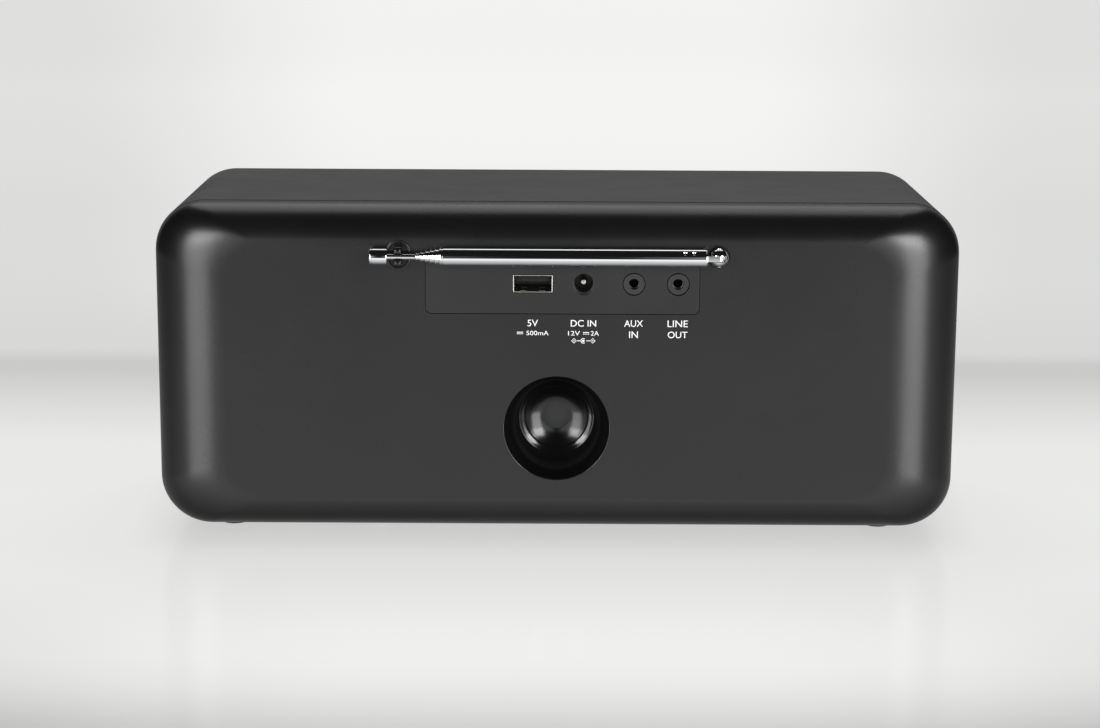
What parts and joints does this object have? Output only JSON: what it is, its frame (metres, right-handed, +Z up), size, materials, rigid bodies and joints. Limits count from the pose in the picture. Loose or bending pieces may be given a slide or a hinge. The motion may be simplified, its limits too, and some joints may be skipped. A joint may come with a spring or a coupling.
{
  "type": "tabletop radio",
  "caption": "Tabletop stereo radio: rounded black cabinet, telescopic antenna clipped across the back, connector plate, round bass port, front speakers, display and tuning knob.",
  "frame": {"origin": "centre of the footprint at the height of the rubber feet", "axes": "+Z up; -Y is the front with the display and knob; +Y is the rear with the antenna and connectors; +X is to the right for a listener in front"},
  "size_m": [0.27, 0.1228, 0.113],
  "materials": {
    "sleeve_paint": "satin",
    "cover_plastic": "satin",
    "inner_plastic": "matte",
    "grille_metal": "satin",
    "gloss_black": "gloss",
    "display_window": "polished",
    "display_module": "satin",
    "plate_plastic": "satin",
    "port_gloss": "gloss",
    "nickel": "satin",
    "contact_plastic": "matte",
    "jack_plastic": "semi-gloss",
    "circuit_board": "semi-gloss",
    "ribbon": "satin",
    "lead_insulation": "satin",
    "zinc": "satin",
    "slider_nylon": "matte",
    "knob_gloss": "gloss",
    "screw_steel": "satin",
    "chrome": "polished",
    "clip_plastic": "satin",
    "rubber": "matte",
    "button_plastic": "satin",
    "frame_steel": "satin",
    "magnet": "matte",
    "cone_paper": "matte",
    "surround_rubber": "matte"
  },
  "bodies": {
    "case": {"cabinet_sleeve": "sleeve_paint", "rear_cover": "cover_plastic", "front_baffle": "inner_plastic", "grille_left": "grille_metal", "grille_right": "grille_metal", "control_fascia": "gloss_black", "display_window": "display_window", "display_module": "display_module", "jack_plate": "plate_plastic", "bass_port": "port_gloss", "foot_front_left": "rubber", "foot_front_right": "rubber", "foot_rear_left": "rubber", "foot_rear_right": "rubber", "usb_shell": "nickel", "usb_tongue": "contact_plastic", "dc_jack": "jack_plastic", "dc_pin": "nickel", "aux_jack": "jack_plastic", "line_jack": "jack_plastic", "main_board": "circuit_board", "radio_module": "nickel", "front_board": "circuit_board", "tact_switches": "contact_plastic", "ribbon_cable": "ribbon", "speaker_leads": "lead_insulation", "encoder_body": "zinc", "speaker_frame_left": "frame_steel", "speaker_frame_right": "frame_steel", "speaker_magnet_left": "magnet", "speaker_magnet_right": "magnet", "speaker_surround_left": "surround_rubber", "speaker_surround_right": "surround_rubber", "speaker_screws": "screw_steel", "board_screws": "screw_steel", "case_screws": "screw_steel", "antenna_clip": "clip_plastic"},
    "swivel": {"antenna_swivel": "chrome", "antenna_pin": "screw_steel", "antenna_screw": "screw_steel"},
    "mast_1": {"antenna_plug": "chrome", "antenna_tube_1": "chrome"},
    "mast_2": {"antenna_tube_2": "chrome"},
    "mast_3": {"antenna_tube_3": "chrome"},
    "mast_4": {"antenna_tube_4": "chrome"},
    "mast_5": {"antenna_tube_5": "chrome"},
    "mast_6": {"antenna_tube_6": "chrome"},
    "mast_7": {"antenna_rod": "chrome", "antenna_tip": "chrome"},
    "push_slider": {"encoder_slider": "slider_nylon"},
    "dial": {"encoder_shaft": "zinc", "tuning_knob": "knob_gloss"},
    "key_1": {"button_1": "button_plastic"},
    "key_2": {"button_2": "button_plastic"},
    "key_3": {"button_3": "button_plastic"},
    "key_4": {"button_4": "button_plastic"},
    "key_5": {"button_5": "button_plastic"},
    "key_6": {"button_6": "button_plastic"},
    "cone_left": {"speaker_cone_left": "cone_paper"},
    "cone_right": {"speaker_cone_right": "cone_paper"}
  },
  "joints": [
    {"name": "antenna_swivel", "type": "hinge", "parent": "case", "child": "swivel", "pos_m": [-0.053, 0.0584, 0.0972], "axis": [0, -1, 0], "range_deg": [0, 180]},
    {"name": "antenna_tilt", "type": "hinge", "parent": "swivel", "child": "mast_1", "pos_m": [-0.053, 0.0584, 0.0972], "axis": [0, 0, 1], "range_deg": [0, 90]},
    {"name": "mast_slide_1", "type": "slide", "parent": "mast_1", "child": "mast_2", "axis": [1, 0, 0], "range_m": [0, 0.066], "deforming": ["antenna_clip"]},
    {"name": "mast_slide_2", "type": "slide", "parent": "mast_2", "child": "mast_3", "axis": [1, 0, 0], "range_m": [0, 0.066]},
    {"name": "mast_slide_3", "type": "slide", "parent": "mast_3", "child": "mast_4", "axis": [1, 0, 0], "range_m": [0, 0.066]},
    {"name": "mast_slide_4", "type": "slide", "parent": "mast_4", "child": "mast_5", "axis": [1, 0, 0], "range_m": [0, 0.066]},
    {"name": "mast_slide_5", "type": "slide", "parent": "mast_5", "child": "mast_6", "axis": [1, 0, 0], "range_m": [0, 0.066]},
    {"name": "mast_slide_6", "type": "slide", "parent": "mast_6", "child": "mast_7", "axis": [1, 0, 0], "range_m": [0, 0.066]},
    {"name": "knob_push", "type": "slide", "parent": "case", "child": "push_slider", "axis": [0, 1, 0], "range_m": [0, 0.0005], "stiffness_N_per_m": 800},
    {"name": "knob_turn", "type": "hinge", "parent": "push_slider", "child": "dial", "pos_m": [0, -0.0554, 0.032], "axis": [0, -1, 0], "continuous": true},
    {"name": "button_press_1", "type": "slide", "parent": "case", "child": "key_1", "axis": [0, 1, 0], "range_m": [0, 0.0006], "stiffness_N_per_m": 400},
    {"name": "button_press_2", "type": "slide", "parent": "case", "child": "key_2", "axis": [0, 1, 0], "range_m": [0, 0.0006], "stiffness_N_per_m": 400},
    {"name": "button_press_3", "type": "slide", "parent": "case", "child": "key_3", "axis": [0, 1, 0], "range_m": [0, 0.0006], "stiffness_N_per_m": 400},
    {"name": "button_press_4", "type": "slide", "parent": "case", "child": "key_4", "axis": [0, 1, 0], "range_m": [0, 0.0006], "stiffness_N_per_m": 400},
    {"name": "button_press_5", "type": "slide", "parent": "case", "child": "key_5", "axis": [0, 1, 0], "range_m": [0, 0.0006], "stiffness_N_per_m": 400},
    {"name": "button_press_6", "type": "slide", "parent": "case", "child": "key_6", "axis": [0, 1, 0], "range_m": [0, 0.0006], "stiffness_N_per_m": 400},
    {"name": "cone_travel_left", "type": "slide", "parent": "case", "child": "cone_left", "axis": [0, 1, 0], "range_m": [-0.0008, 0.0008], "stiffness_N_per_m": 1500, "deforming": ["speaker_surround_left"]},
    {"name": "cone_travel_right", "type": "slide", "parent": "case", "child": "cone_right", "axis": [0, 1, 0], "range_m": [-0.0008, 0.0008], "stiffness_N_per_m": 1500, "deforming": ["speaker_surround_right"]}
  ]
}
